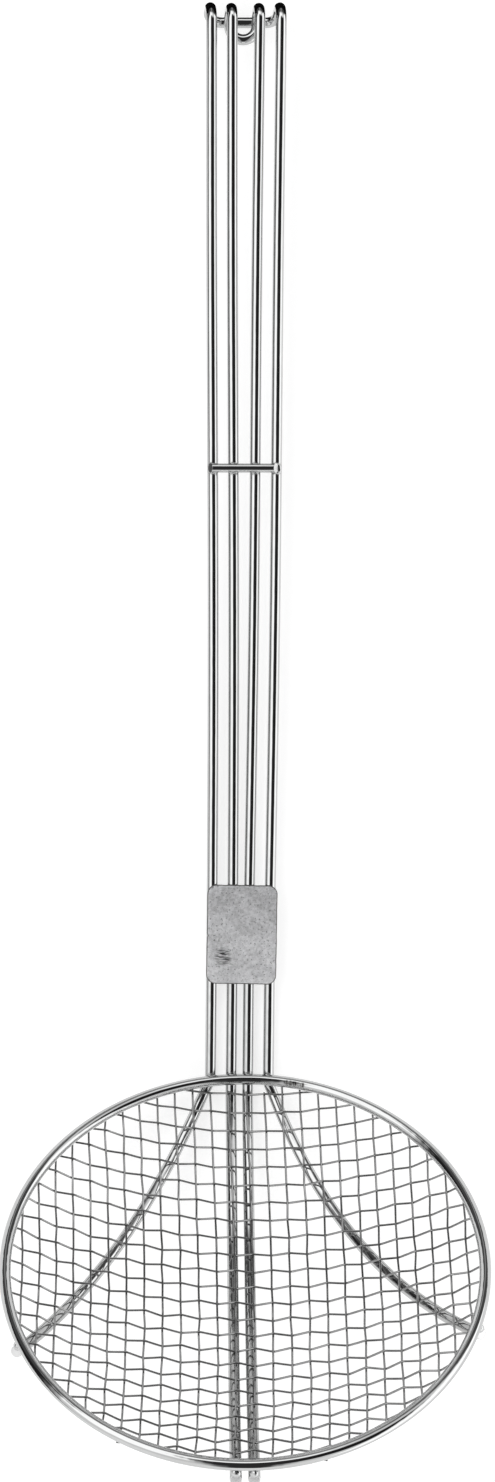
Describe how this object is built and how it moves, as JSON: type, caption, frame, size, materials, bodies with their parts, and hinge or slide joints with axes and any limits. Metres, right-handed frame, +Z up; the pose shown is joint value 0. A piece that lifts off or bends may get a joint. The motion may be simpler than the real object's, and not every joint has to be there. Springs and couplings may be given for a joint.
{
  "type": "wire mesh skimmer",
  "caption": "Round woven wire bowl in a wire hoop, set at an angle on a long handle of parallel rods with a hanging hook, for lifting food out of hot oil or water.",
  "frame": {"origin": "centre of the footprint on the table, at table height", "axes": "+Y along the handle from the bowl to the hook, +Z up, +X to the right seen from above with the hook away"},
  "size_m": [0.176, 0.5374, 0.1312],
  "materials": {
    "rim_wire": "bright nickel-plated steel wire",
    "handle_wire": "bright nickel-plated steel wire",
    "crossbar_wire": "bright nickel-plated steel wire",
    "plate_steel": "worn matt steel sheet, mottled grey",
    "cloth_wire": "plated woven steel wire"
  },
  "bodies": {
    "root": {"rim_hoop": "rim_wire", "handle_outer_wire": "handle_wire", "handle_inner_wire": "handle_wire", "crossbar": "crossbar_wire", "handle_plate": "plate_steel", "cloth_warp_01": "cloth_wire", "cloth_warp_02": "cloth_wire", "cloth_warp_03": "cloth_wire", "cloth_warp_04": "cloth_wire", "cloth_warp_05": "cloth_wire", "cloth_warp_06": "cloth_wire", "cloth_warp_07": "cloth_wire", "cloth_warp_08": "cloth_wire", "cloth_warp_09": "cloth_wire", "cloth_warp_10": "cloth_wire", "cloth_warp_11": "cloth_wire", "cloth_warp_12": "cloth_wire", "cloth_warp_13": "cloth_wire", "cloth_warp_14": "cloth_wire", "cloth_warp_15": "cloth_wire", "cloth_warp_16": "cloth_wire", "cloth_warp_17": "cloth_wire", "cloth_warp_18": "cloth_wire", "cloth_warp_19": "cloth_wire", "cloth_warp_20": "cloth_wire", "cloth_warp_21": "cloth_wire", "cloth_warp_22": "cloth_wire", "cloth_warp_23": "cloth_wire", "cloth_warp_24": "cloth_wire", "cloth_warp_25": "cloth_wire", "cloth_warp_26": "cloth_wire", "cloth_weft_01": "cloth_wire", "cloth_weft_02": "cloth_wire", "cloth_weft_03": "cloth_wire", "cloth_weft_04": "cloth_wire", "cloth_weft_05": "cloth_wire", "cloth_weft_06": "cloth_wire", "cloth_weft_07": "cloth_wire", "cloth_weft_08": "cloth_wire", "cloth_weft_09": "cloth_wire", "cloth_weft_10": "cloth_wire", "cloth_weft_11": "cloth_wire", "cloth_weft_12": "cloth_wire", "cloth_weft_13": "cloth_wire", "cloth_weft_14": "cloth_wire", "cloth_weft_15": "cloth_wire", "cloth_weft_16": "cloth_wire", "cloth_weft_17": "cloth_wire", "cloth_weft_18": "cloth_wire", "cloth_weft_19": "cloth_wire", "cloth_weft_20": "cloth_wire", "cloth_weft_21": "cloth_wire", "cloth_weft_22": "cloth_wire", "cloth_weft_23": "cloth_wire", "cloth_weft_24": "cloth_wire", "cloth_weft_25": "cloth_wire"}
  },
  "joints": []
}
